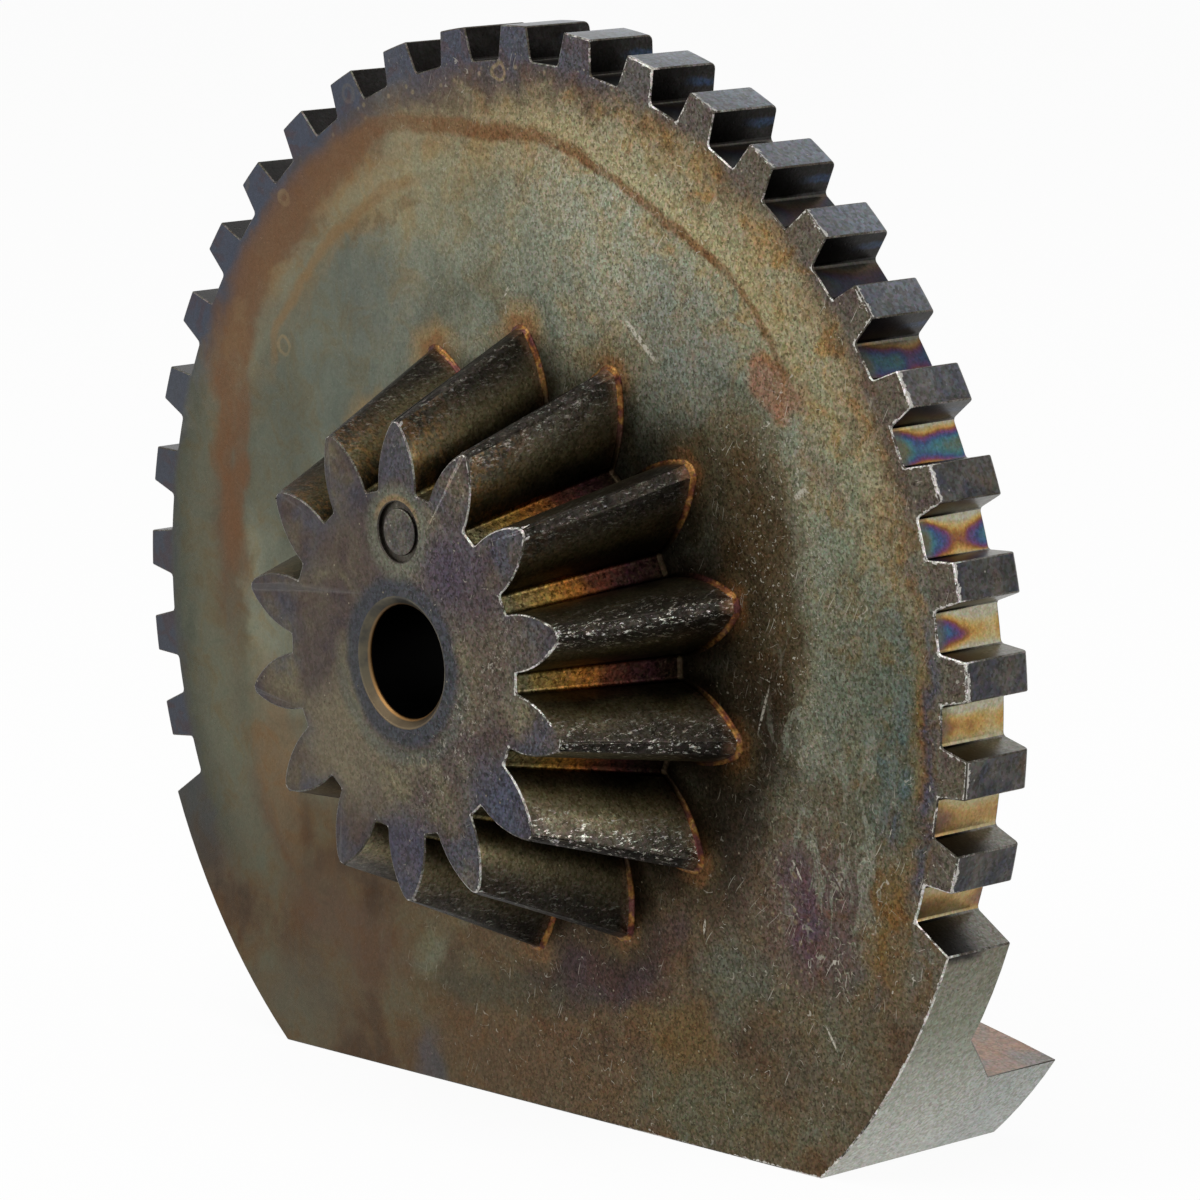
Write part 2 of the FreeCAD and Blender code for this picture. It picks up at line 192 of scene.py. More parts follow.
class Finish(Board):
    # a material of the gear under construction; its place fields are in millimetres
    def __init__(self, name):
        self.material = bpy.data.materials.new(name)
        self.material.use_nodes = True
        super().__init__(self.material.node_tree)
        self.grain, self.strength, self.rough, self.pores = looks[name]
        self.colour = None                      # each layer is laid over what is here so far
        position = self.node("TexCoord").output("Object")
        self.place = self.vector("SCALE", position, scale=1 / mm)
        axes = self.node("SeparateXYZ", {}, {0: self.place})
        self.x, self.y, self.z = axes.output("X"), axes.output("Y"), axes.output("Z")
        self.flat = self.node("CombineXYZ", {}, {0: self.x, 1: self.z})
        self.radius = length(self.x, self.z)
        self.turn = self.x.maths("ARCTAN2", self.x, self.z) * (180 / math.pi)

    def ramp(self, value, *stops):
        return self.node("ValToRGB", {"stops": stops}, {0: value})

    def vector(self, operation, first, second=None, scale=None):
        inputs = {0: first}
        if second is not None:
            inputs[1] = second
        if scale is not None:
            inputs["Scale"] = scale
        return self.node("VectorMath", {"operation": operation}, inputs)

    def blend(self, mask, under, over, mode="MIX"):
        settings = {"data_type": "RGBA", "blend_type": mode}
        inputs = {"Factor_Float": mask, "A_Color": under, "B_Color": over}
        for name, value in inputs.items():
            if isinstance(value, tuple) and len(value) == 3:
                inputs[name] = (*value, 1)
        return self.node("Mix", settings, inputs).output("Result_Color")

    def lay(self, mask, over, mode="MIX"):
        self.colour = self.blend(mask, self.colour, over, mode)

    def shade(self, factor):
        # the colour so far made lighter or darker by a number that changes over the surface
        three = self.node("CombineColor", {}, {0: factor, 1: factor, 2: factor})
        self.lay(1.0, three, "MULTIPLY")

    def noise(self, size, detail=2.0, rough=0.5, warp=0.0, at=None, shift=0.0):
        place = self.place if at is None else at
        if shift:
            place = self.vector("ADD", place, (shift, -shift, shift))
        inputs = {"Vector": place, "Scale": 1 / size, "Detail": detail, "Roughness": rough}
        inputs["Distortion"] = warp
        return self.node("TexNoise", {}, inputs)

    def specks(self, cell, size, share, shift):
        # round grains of about size, one to a cell, in a share of the cells
        place = self.vector("ADD", self.place, (shift, shift, -shift))
        cells = self.node("TexVoronoi", {}, {"Vector": place, "Scale": 1 / cell})
        chance = self.node("SeparateColor", {}, {0: cells.output("Color")})
        half = size / cell / 2
        return cells.output("Distance").rise(half * 1.5, half * 0.5) * (chance > 1 - share)

    def dashes(self, length, width, turn, share):
        # short upright marks: length by width, lying at a turn, one to a cell of some cells
        drift = self.noise(9, 1, shift=turn) - 0.5
        spun = math.radians(turn)
        along = self.x * math.cos(spun) + self.z * math.sin(spun) + drift * 4
        aside = self.z * math.cos(spun) - self.x * math.sin(spun) + drift * -6
        spot = self.node("CombineXYZ", {}, {0: along / (length * 4), 1: aside / (width * 4)})
        cells = self.node("TexVoronoi", {"voronoi_dimensions": "2D"}, {"Vector": spot, "Scale": 1})
        chance = self.node("SeparateColor", {}, {0: cells.output("Color")})
        return cells.output("Distance").rise(0.15, 0.08) * (chance > 1 - share)

    def squiggles(self, size, width, share, shift):
        # hairlines that wander, broken into short lengths
        line = abs(self.noise(size, 0, 0.5, 1.2, shift=shift) - 0.5).rise(width, width * 0.3)
        return line * self.noise(size * 0.3, 1, shift=shift + 9).rise(0.66 - share, 0.69 - share)

    def rings(self, cell, radius, width, share, shift):
        # small round outlines, as a dried drop leaves them
        place = self.vector("ADD", self.place, (shift, 0, -shift))
        cells = self.node("TexVoronoi", {}, {"Vector": place, "Scale": 1 / cell})
        chance = self.node("SeparateColor", {}, {0: cells.output("Color")})
        uneven = self.noise(radius * 1.5, 1, shift=shift) - 0.5
        gap = abs(cells.output("Distance") * cell - radius * (1 + uneven * 0.9))
        return gap.rise(width, width * 0.3) * (chance > 1 - share)

    def stain(self, place, centre, size, turn=0.0, soft=0.35):
        # a soft-edged oval in a face's own plane
        reach = {"Vector": place, "Location": (*centre, 0), "Scale": (*size, 1)}
        reach["Rotation"] = (0, 0, math.radians(turn))
        spot = self.node("Mapping", {"vector_type": "TEXTURE"}, reach)
        return self.vector("LENGTH", spot).output("Value").rise(1 + soft, 1 - soft)

    def finish(self, rough=None):
        # pressed powder: fine open grain with a few larger pores
        rough = self.rough if rough is None else rough
        pores = self.specks(0.5, 0.2, 0.35, 7)
        height = self.noise(0.18, 2, 0.6) - pores * 0.8
        depth = {"Height": height, "Strength": 1, "Distance": self.pores * mm}
        inputs = {"Base Color": self.colour, "Roughness": rough, "Metallic": 1}
        inputs["Normal"] = self.node("Bump", {}, depth)
        shader = self.node("BsdfPrincipled", {}, inputs)
        self.node("OutputMaterial", {}, {"Surface": shader})
        return self.material


# colours of the steel and of its oxide
tints = {
    "bright": (0.52, 0.50, 0.46),
    "rust": (0.13, 0.070, 0.038),
    "purple": (0.060, 0.040, 0.044),
    "dusk": (0.050, 0.056, 0.074),
    "tan": (0.205, 0.150, 0.080),
    "brown": (0.070, 0.046, 0.026),
    "umber": (0.020, 0.014, 0.008),
    "black": (0.003, 0.003, 0.003),
}
looks = {
    # name: grain in millimetres, its strength, roughness, depth of the pores in millimetres
    "plateFace": (0.20, 1.9, 0.42, 0.012),
    "toeFace": (0.22, 2.0, 0.34, 0.008),
    "toothFlank": (0.20, 1.6, 0.36, 0.012),
    "toothCrest": (0.20, 1.6, 0.40, 0.020),
    "rootStrip": (0.20, 2.4, 0.36, 0.015),
    "heelFillet": (0.20, 1.4, 0.38, 0.010),
    "rimSide": (0.22, 1.2, 0.40, 0.010),
    "footTop": (0.22, 1.1, 0.42, 0.010),
    "backFace": (0.22, 2.0, 0.42, 0.012),
    "lockTip": (0.26, 1.2, 0.34, 0.006),
    "lockFlank": (0.20, 1.2, 0.36, 0.008),
    "gapFloor": (0.20, 0.7, 0.30, 0.006),
    "boreWall": (0.20, 0.0, 0.45, 0.006),
    "buttonMark": (0.20, 1.4, 0.40, 0.010),
    "wornEdge": (0.20, 1.6, 0.38, 0.030),
}


def grainy(f, mask=1.0):
    # each pressed grain lighter or darker than its neighbours, and a trace warmer or colder
    grains = f.node("TexVoronoi", {}, {"Vector": f.place, "Scale": 1 / f.grain}).output("Color")
    hue = f.blend(mask * 0.2, (1,) * 3, f.blend(1.0, grains, (0.5,) * 3, "ADD"))
    f.lay(1.0, hue, "MULTIPLY")
    patchy = f.noise(f.grain * 2.2, 2, 0.7) - 0.5
    single = f.node("SeparateColor", {}, {0: grains}).output("Blue") - 0.5
    f.shade(((single * 0.45 + patchy * 0.75) * (mask * f.strength) + 1).orMore(0.12))


def lockOutline(f):
    # how far in from the plate's outline, teeth included
    s = gearSizes
    turn = f.turn / s["lockPitch"]
    offset = abs(turn - turn.maths("ROUND", turn)) * f.radius * math.radians(s["lockPitch"])
    half = s["rootWidth"] / 2 - (f.radius - s["rootRadius"]) * s["lockTaper"]
    tooth = (half - offset).orLess(s["tipRadius"] - f.radius)
    disc = s["rootRadius"] - f.radius
    past = (abs(turn) - s["lastWall"]) * f.radius * math.radians(s["lockPitch"])
    rim = past.orMore(disc).orLess(s["rimRadius"] - f.radius).orLess(f.z - s["flat"])
    toothed = abs(turn) < s["lastGap"]
    return tooth.orMore(disc) * toothed + rim * (1 - toothed)


def pinionOutline(f, shrink):
    # how far in from the pinion's outline at its cone's scale there
    s = gearSizes
    radius = f.radius / shrink
    turn = f.turn / (360 / s["pinionTeeth"])
    angle = (turn - turn.maths("ROUND", turn)) * math.radians(360 / s["pinionTeeth"])
    outward = radius * angle.maths("COSINE", angle)
    aside = radius * abs(angle.maths("SINE", angle))
    centre = flankCentre()
    reach = length(outward - centre.x, aside - centre.y)
    tooth = (s["flankRadius"] - reach).orLess(s["heelTip"] - radius)
    return tooth.orMore(s["heelRoot"] - radius) * shrink


def flankCentre():
    # the centre of the arc that a flank follows at the plate, from the tooth's middle line
    s = gearSizes

    def corner(radius, width):
        return Vector((math.sqrt(radius ** 2 - (width / 2) ** 2), width / 2))

    foot = corner(s["heelRoot"], s["heelRootWidth"])
    tip = corner(s["heelTip"], s["heelTipWidth"])
    chord = tip - foot
    drop = math.sqrt(s["flankRadius"] ** 2 - (chord.length / 2) ** 2)
    inward = Vector((chord.y, -chord.x)).normalized()
    return (foot + tip) / 2 + inward * drop


def chipped(f, edge, reach=0.3, mask=1.0):
    # an edge's bare, bruised rim, of uneven width and here and there gone
    ragged = f.noise(0.8, 4, 0.8, 0.3, shift=41).spread(0.40, 0.64)
    rubbed = f.noise(6, 2, shift=47).spread(0.38, 0.58)
    bare = (edge - ragged * rubbed * (mask * reach)).rise(0.06, -0.02)
    f.lay(bare * 0.85, tints["bright"])


# the plate's front
plateStains = {
    # name: (centre, half sizes, turn, softness, colour, strength)
    "greyLeft": ((-26, 20), (11, 10), 20, 0.55, (0.100, 0.108, 0.086), 0.75),
    "dimLeft": ((-33, 12), (4.5, 9), 0, 0.6, (0.082, 0.084, 0.062), 0.7),
    "dimTop": ((-19, 29), (7, 5), -10, 0.6, (0.086, 0.094, 0.084), 0.45),
    "paleTop": ((-10, 38.5), (9, 3.6), 10, 0.6, (0.205, 0.186, 0.115), 0.65),
    "paleRight": ((12, 36), (11, 6), -25, 0.6, (0.238, 0.232, 0.165), 0.7),
    "greyUpper": ((19, 27), (6, 5), -30, 0.6, (0.125, 0.130, 0.112), 0.5),
    "oliveHeel": ((24, 17), (5, 6), -30, 0.6, (0.088, 0.066, 0.033), 0.75),
    "tealRight": ((37, 12), (4, 8), 8, 0.6, (0.190, 0.190, 0.132), 0.6),
    "darkRight": ((29, 7), (4.8, 13), 2, 0.35, (0.064, 0.043, 0.021), 0.92),
    "darkRightLow": ((26.5, -9), (5, 10), -16, 0.45, (0.023, 0.016, 0.011), 0.85),
    "brownArc": ((17, -22), (8, 3.5), 42, 0.5, (0.078, 0.052, 0.029), 0.7),
    "greyRight": ((40, 3), (5, 8), 0, 0.6, (0.110, 0.112, 0.080), 0.65),
    "blueRight": ((44, -8), (2.4, 6), 0, 0.6, (0.064, 0.086, 0.082), 0.8),
    "blueNick": ((43.6, -9.5), (0.9, 1.6), 30, 0.6, (0.036, 0.052, 0.080), 0.7),
    "blotBase": ((37, -11), (6, 5), 0, 0.6, (0.092, 0.077, 0.050), 0.8),
    "purpleRightLow": ((35, -19), (6.5, 6), 0, 0.55, (0.082, 0.052, 0.046), 0.88),
    "violetRightLow": ((32.5, -19), (2.2, 4), 10, 0.6, (0.056, 0.034, 0.058), 0.6),
    "oliveRight": ((43, -18), (2.8, 7), -10, 0.5, (0.118, 0.080, 0.034), 0.8),
    "tealLow": ((25, -25), (4.5, 4), 40, 0.6, (0.086, 0.088, 0.062), 0.75),
    "orangeLow": ((18, -31.5), (5, 3), 0, 0.6, (0.098, 0.060, 0.021), 0.75),
    "oliveCorner": ((36, -31), (6, 6), 0, 0.6, (0.086, 0.077, 0.050), 0.6),
    "purpleLow": ((8, -28), (8, 2.6), 10, 0.45, (0.042, 0.026, 0.029), 0.85),
    "purpleRing": ((15, -24.5), (5, 1.6), 40, 0.5, (0.045, 0.028, 0.031), 0.6),
    "rustLow": ((-3, -37), (15, 3.6), 0, 0.5, (0.088, 0.055, 0.029), 0.75),
    "oliveLow": ((20, -37), (7, 4), 0, 0.35, (0.083, 0.078, 0.047), 0.75),
    "duskLow": ((-5, -31), (12, 2), 4, 0.5, (0.060, 0.051, 0.032), 0.8),
    "tealSpot": ((-14.5, -29.5), (3.4, 1.4), 30, 0.6, (0.114, 0.112, 0.074), 0.8),
    "blueLow": ((-14, -38.5), (2, 3), 0, 0.6, (0.058, 0.058, 0.072), 0.6),
    "rustLeftLow": ((-26, -29), (8, 4), -15, 0.6, (0.088, 0.055, 0.035), 0.8),
    "oliveLeftLow": ((-33, -36), (7, 3.5), 0, 0.6, (0.086, 0.074, 0.050), 0.7),
    "tealLeft": ((-40.5, -10), (4, 8), 10, 0.55, (0.112, 0.112, 0.076), 0.6),
    "rustInner": ((-34.5, -14), (2.5, 7), 10, 0.55, (0.150, 0.100, 0.054), 0.7),
    "rustStreak": ((-40, 12), (1.7, 11), 4, 0.5, (0.122, 0.062, 0.030), 0.8),
    "creamLeft": ((-38, 24), (1.6, 2.8), -35, 0.5, (0.205, 0.150, 0.080), 0.75),
    "redOval": ((31, 24), (3.7, 2.3), -50, 0.25, (0.200, 0.105, 0.064), 0.8),
    "redTail": ((36.5, 16.5), (4, 1.0), -62, 0.5, (0.150, 0.085, 0.050), 0.45),
}
plateRings = {
    # name: (turns where it begins, is full, begins to fade and ends), colours from 36 to 50 mm out
    "left": ((-140, -118, -74, -62), (
        (0.08, (0.088, 0.082, 0.056)), (0.22, (0.086, 0.070, 0.044)), (0.36, (0.094, 0.062, 0.038)),
        (0.50, (0.100, 0.090, 0.060)), (0.66, (0.094, 0.090, 0.062)), (0.84, (0.064, 0.066, 0.047)),
        (0.94, (0.052, 0.053, 0.050)),
    )),
    "upperLeft": ((-74, -60, -26, -12), (
        (0.16, (0.120, 0.122, 0.092)), (0.25, (0.178, 0.132, 0.070)), (0.31, (0.170, 0.118, 0.056)),
        (0.40, (0.185, 0.160, 0.098)), (0.52, (0.175, 0.120, 0.062)), (0.60, (0.132, 0.076, 0.038)),
        (0.74, (0.120, 0.070, 0.040)), (0.84, (0.072, 0.050, 0.050)), (0.93, (0.040, 0.048, 0.075)),
    )),
    "top": ((-26, -12, 10, 22), (
        (0.20, (0.175, 0.162, 0.108)), (0.40, (0.215, 0.165, 0.086)), (0.50, (0.170, 0.112, 0.058)),
        (0.62, (0.195, 0.155, 0.090)), (0.72, (0.150, 0.115, 0.068)), (0.80, (0.078, 0.054, 0.044)),
        (0.92, (0.052, 0.044, 0.060)),
    )),
    "right": ((8, 20, 74, 86), (
        (0.20, (0.195, 0.186, 0.128)), (0.40, (0.205, 0.186, 0.115)), (0.55, (0.220, 0.190, 0.112)),
        (0.70, (0.225, 0.182, 0.105)), (0.82, (0.150, 0.108, 0.060)), (0.92, (0.082, 0.064, 0.054)),
    )),
    "lowerRight": ((76, 88, 116, 128), (
        (0.10, (0.115, 0.118, 0.084)), (0.34, (0.118, 0.118, 0.082)), (0.52, (0.088, 0.100, 0.080)),
        (0.66, (0.072, 0.086, 0.076)), (0.75, (0.125, 0.092, 0.036)), (0.80, (0.110, 0.062, 0.030)),
        (0.86, (0.052, 0.046, 0.066)), (0.95, (0.098, 0.084, 0.062)),
    )),
}
plateScratches = {
    # name: (centre, half sizes, turn)
    "long": ((14.8, 26.8), (2.4, 0.26), -42),
    "dotted": ((28.8, -2.4), (2.0, 0.13), 70),
    "nick": ((33.6, 15.8), (0.9, 0.3), 32),
    "tick": ((21.2, -21.6), (0.6, 0.13), 80),
    "lowTick": ((36.1, -28.6), (1.1, 0.11), -56),
    "hook": ((-1.7, 29.6), (0.5, 0.12), 55),
    "edgeTick": ((32.4, -15.2), (0.9, 0.12), -55),
}


def plateFace():
    f = Finish("plateFace")
    sway = f.node("SeparateColor", {}, {0: f.noise(7, 2, 0.6).output("Color")})
    across = f.x + (sway.output("Red") - 0.5) * 7
    up = f.z + (sway.output("Green") - 0.5) * 7
    swayed = f.node("CombineXYZ", {}, {0: across, 1: up})
    cloud = f.noise(10, 4, 0.6, 0.6)
    patches = f.noise(2.8, 3, 0.6, 0.7, shift=13).spread(0.3, 0.7)
    upright = f.node("CombineXYZ", {}, {0: f.x, 2: f.z / 5})
    streaks = f.noise(3.2, 2, 0.6, shift=23, at=upright)
    coarse = f.x.rise(-28, 14)              # the handled side shows its grain and its marks most
    f.colour = f.ramp(
        cloud + (streaks - 0.5) * 0.2,
        (0.34, (0.094, 0.094, 0.067)),
        (0.46, (0.134, 0.137, 0.100)),
        (0.56, (0.160, 0.160, 0.116)),
        (0.68, (0.190, 0.172, 0.108)),
    )
    low = f.ramp(
        cloud + (patches - 0.5) * 0.12 + (streaks - 0.5) * 0.2,
        (0.30, (0.050, 0.031, 0.018)),
        (0.42, (0.072, 0.046, 0.026)),
        (0.53, (0.090, 0.064, 0.035)),
        (0.63, (0.092, 0.078, 0.047)),
        (0.74, (0.084, 0.090, 0.064)),
    )
    f.lay(up.rise(-6, -22), low)
    # outside the ring that a housing has rubbed, the oxide lies in bands
    wander = (cloud - 0.5) * 3.2 + (sway.output("Blue") - 0.5) * 2.4 + (patches - 0.5) * 1.4
    ring = (f.radius + wander - 36) / 14
    turn = f.turn + (cloud - 0.5) * 30
    outer = ring.rise(0.10, 0.26) * f.z.rise(-30, -20)
    for (begins, full, fades, ends), stops in plateRings.values():
        around = turn.rise(begins, full) * turn.rise(ends, fades)
        f.lay(around * outer * 0.92, f.ramp(ring, *stops))
    for centre, size, spun, soft, tint, strength in plateStains.values():
        f.lay(f.stain(swayed, centre, size, spun, soft) * strength, tint)
    # blotches a few millimetres across, warm and cold by turns
    blotches = f.noise(3.4, 3, 0.68, 0.9, shift=101)
    hues = f.ramp(
        blotches,
        (0.34, (1.0, 0.72, 0.42)),
        (0.44, (1.0, 0.90, 0.72)),
        (0.52, (0.97, 0.97, 0.94)),
        (0.60, (0.90, 0.98, 0.96)),
        (0.68, (0.72, 0.82, 0.82)),
    )
    right = f.turn.rise(-20, 30)
    f.lay(0.45 + right * outer * 0.4, hues, "MULTIPLY")
    mottles = patches.rise(0.55, 0.8) * outer * turn.rise(-60, -30) * turn.rise(100, 70)
    f.lay(mottles * 0.35, tints["brown"])
    spots = f.rings(4.2, 0.8, 0.26, 0.6, 5)
    f.lay(spots * outer * turn.rise(-70, -50) * turn.rise(70, 40) * 0.6, (0.215, 0.165, 0.090))
    flecks = f.specks(1.1, 0.42, 0.55, 27) * ring.rise(0.6, 0.72)
    flecks = flecks * turn.rise(-40, -20) * turn.rise(40, 20)
    f.lay(flecks * 0.55, (0.20, 0.160, 0.098))
    root = gearSizes["rootRadius"]
    teeth = f.radius.rise(root - 0.5, root + 0.5) * f.z.rise(-20, -14)
    plain = f.blend(f.turn.rise(-10, 40), tints["dusk"], (0.088, 0.076, 0.054))
    f.lay(teeth * 0.8, f.blend(patches.rise(0.5, 0.8) * 0.6, plain, tints["purple"]))
    # one rusty arc, crisp over the top right and wide at the upper left
    path = 41.3 + f.turn.rise(24, 4) * 1.6 + f.turn.rise(0, -26) * 3.2
    path = path - f.turn.rise(-50, -74) * 5.5
    half = 0.42 + f.turn.rise(14, -6) * 0.35 + f.turn.rise(-16, -40) * 1.2
    half = half - f.turn.rise(-56, -68) * 0.7
    outward = f.radius - path + (sway.output("Red") - 0.5) * 2.2 + (patches - 0.5) * 0.5
    around = f.turn.rise(58, 44) * f.turn.rise(-92, -80)
    pale = outward.rise(-0.2, 0.4) * outward.rise(3.8, 0.9)
    pale = pale * f.turn.rise(-8, 8) * f.turn.rise(58, 44)
    f.lay(pale * 0.65, (0.262, 0.225, 0.118))
    line = (abs(outward) / half).rise(1.5, 0.5) * around * (0.55 + patches * 0.45)
    rustLine = f.blend(f.turn.rise(-10, -30), (0.118, 0.052, 0.018), (0.120, 0.062, 0.030))
    f.lay(line * 0.9, rustLine)
    inside = abs(outward + 5.2).rise(0.9, 0.2) * f.turn.rise(-14, -24) * f.turn.rise(-62, -52)
    f.lay(inside * 0.6, (0.175, 0.105, 0.045))
    # painted shade: darker between the pinion's heels and round its outline, most on the right and
    # below; rusty round their crests
    pinion = pinionOutline(f, 1) * -1
    lower = f.turn.rise(40, 75)
    paintedShade = (pinion + (cloud - 0.5) * 3).rise(5, 0.5)
    paintedShade = paintedShade * (0.25 + f.x.rise(-8, 14) * (0.30 + lower * 0.45))
    rootShade = pinion.rise(4.5, 0.5) * f.radius.rise(26.5, 22.5) * 0.75
    f.lay(paintedShade.orMore(rootShade), tints["umber"])
    crests = f.radius.rise(24.5, 27.5)
    glow = (pinion + (patches - 0.5) * 0.8).rise(3.2, 0.8) * crests
    glow = glow * (0.25 + f.x.rise(22, 0) * 0.6) * (1 - f.z.rise(-14, -24) * 0.7)
    f.lay(glow, (0.205, 0.140, 0.062))
    close = (pinion + (patches - 0.5) * 0.6).rise(1.5, 0.7) * crests
    f.lay(close * (0.75 - f.z.rise(-14, -24) * 0.35), (0.135, 0.062, 0.022))
    # what has dried on the lower right: pale upright blots, drops and wandering threads
    wet = f.stain(f.flat, (36, -8), (7, 14), 0, 0.4)
    tall = f.node("CombineXYZ", {}, {0: f.x, 2: f.z / 2.4})
    blots = f.noise(1.9, 3, 0.6, 0.9, shift=33, at=tall)
    f.lay(blots.rise(0.54, 0.60) * wet * 0.65, (0.158, 0.160, 0.118))
    drops = f.specks(0.85, 0.42, 0.6, 17) * f.stain(f.flat, (31.5, -20.5), (3.4, 7), 0, 0.5)
    f.lay(drops * 0.7, (0.190, 0.150, 0.085))
    threads = abs(f.noise(2.4, 1, 0.5, 1.0, shift=51) - 0.5).rise(0.018, 0.005)
    threads = threads * f.noise(1.6, 1, shift=61).rise(0.50, 0.58)
    threads = threads * f.stain(f.flat, (36, -13), (8, 15), 0, 0.4)
    f.lay(threads * 0.65, (0.23, 0.22, 0.16))
    # grain, pores, pale specks and hairline scratches
    grainy(f, 0.15 + coarse * 0.85)
    f.lay(f.specks(0.55, 0.17, 0.45, 11) * coarse * 0.7, tints["umber"])
    f.lay(f.specks(3.1, 0.34, 0.3, 43) * coarse * 0.8, tints["umber"])
    f.lay(f.specks(0.8, 0.17, 0.35, 3) * coarse * 0.5, (0.38, 0.34, 0.24))
    wornAndLit = f.noise(12, 2, shift=31).spread(0.36, 0.62) * coarse
    marks = f.squiggles(2.0, 0.010, 0.09, 71)
    marks = marks.orMore(f.dashes(1.4, 0.06, 66, 0.07))
    nicked = f.stain(f.flat, (31, 8), (6, 14), 8, 0.5)
    nicked = nicked * f.noise(0.34, 2, 0.6, shift=57).rise(0.66, 0.70)
    marks = (marks * wornAndLit).orMore(nicked)
    torn = f.noise(0.3, 2, 0.6, shift=63).rise(0.40, 0.52)
    for centre, size, spun in plateScratches.values():
        marks = marks.orMore(f.stain(f.flat, centre, size, spun, 0.3) * torn)
    f.lay(marks * 0.75, (0.46, 0.43, 0.36))
    chipped(f, lockOutline(f), 0.34, 0.05 + f.x.rise(-5, 22) * 0.95)
    return f.finish(f.rough + (cloud - 0.5) * 0.3 + (patches - 0.5) * 0.1)


def toeFace():
    f = Finish("toeFace")
    cloud = f.noise(6, 4, 0.6, 0.5)
    f.colour = f.ramp(
        cloud,
        (0.34, (0.046, 0.033, 0.033)),
        (0.46, (0.072, 0.053, 0.042)),
        (0.56, (0.088, 0.070, 0.048)),
        (0.68, (0.132, 0.112, 0.066)),
    )
    blueClouds = f.noise(4.0, 3, 0.6, shift=21).spread(0.42, 0.60)
    teeth = f.radius.rise(12.0, 16)
    f.lay((0.12 + teeth * 0.6) * blueClouds, (0.055, 0.058, 0.074))
    f.lay(f.stain(f.flat, (-8, -8), (6, 4.5), -30, 0.6) * 0.6, (0.165, 0.140, 0.088))
    f.lay(f.stain(f.flat, (7, 7), (6, 4), -30, 0.6) * 0.5, (0.058, 0.044, 0.052))
    f.lay(f.stain(f.flat, (12, -10), (4, 3.5), 0, 0.5) * 0.6, (0.048, 0.054, 0.080))
    f.lay(f.stain(f.flat, (13, 2), (5, 3), 0, 0.6) * 0.4, (0.100, 0.078, 0.046))
    edge = pinionOutline(f, 1 + gearSizes["toeFace"] / gearSizes["coneApex"])
    f.lay((edge + (cloud - 0.5) * 0.6).rise(1.0, 0.2) * 0.35, (0.05, 0.046, 0.052))
    # heat rings round the bore and the button
    bore = f.radius + (cloud - 0.5) * 0.8
    f.lay(bore.rise(7.8, 6.6) * 0.85, (0.038, 0.042, 0.050))
    f.lay(bore.rise(7.2, 7.8) * bore.rise(9.2, 8.2) * f.z.rise(2, -4) * 0.5, (0.085, 0.095, 0.078))
    height = f.z - gearSizes["buttonHeight"]
    button = length(f.x, height) + (cloud - 0.5) * 0.6
    f.lay(button.rise(4.6, 3.2) * 0.75, (0.118, 0.120, 0.086))
    f.lay(button.rise(3.3, 2.9) * height.rise(0, 2.4) * 0.7, (0.20, 0.13, 0.06))
    f.lay(f.stain(f.flat, (0, -16.5), (3.4, 4), 0, 0.5) * 0.7, (0.048, 0.046, 0.066))
    f.lay(f.stain(f.flat, (6.5, 9), (4, 3), 40, 0.6) * 0.5, (0.060, 0.050, 0.070))
    grainy(f, 0.4 + f.x.rise(-10, 8) * 0.6)
    f.lay(f.specks(0.9, 0.16, 0.25, 3) * 0.6, (0.30, 0.27, 0.19))
    f.lay(f.specks(0.7, 0.14, 0.3, 13) * 0.6, tints["umber"])
    f.lay(f.rings(3.6, 0.34, 0.12, 0.18, 37) * 0.5, (0.27, 0.24, 0.16))
    trail = f.stain(f.flat, (8.3, -3.6), (11, 1.8), 56, 0.5)
    hair = f.squiggles(2.2, 0.008, 0.07, 91) * f.x.rise(-6, 6)
    scraped = f.noise(0.45, 3, 0.8, shift=77).rise(0.58, 0.66) * trail
    f.lay(hair.orMore(scraped) * 0.6, (0.38, 0.35, 0.29))
    chipped(f, edge, 0.26, 0.25 + f.x.rise(-4, 8) * 0.75)
    return f.finish(f.rough + (cloud - 0.5) * 0.3)


def pinionPlace(f):
    # how far along the pinion from the plate (0) to the small face (1), and the radius as a
    # share of the tooth tips' there
    shrink = 1 + f.y / gearSizes["coneApex"]
    return f.y / gearSizes["toeFace"], f.radius / (shrink * gearSizes["heelTip"])


def knockedSide(f):
    # the right-hand teeth have been knocked about most
    return f.x.rise(10, 17) * f.z.rise(10, 5) * f.z.rise(-20, -14)


def crestScrapes(f):
    # bright scrapes drawn out along the teeth
    drawn = f.node("CombineXYZ", {}, {0: f.x, 1: f.y * 0.3, 2: f.z * 1.2})
    return f.noise(0.34, 4, 0.8, 0.4, at=drawn).rise(0.56, 0.63)


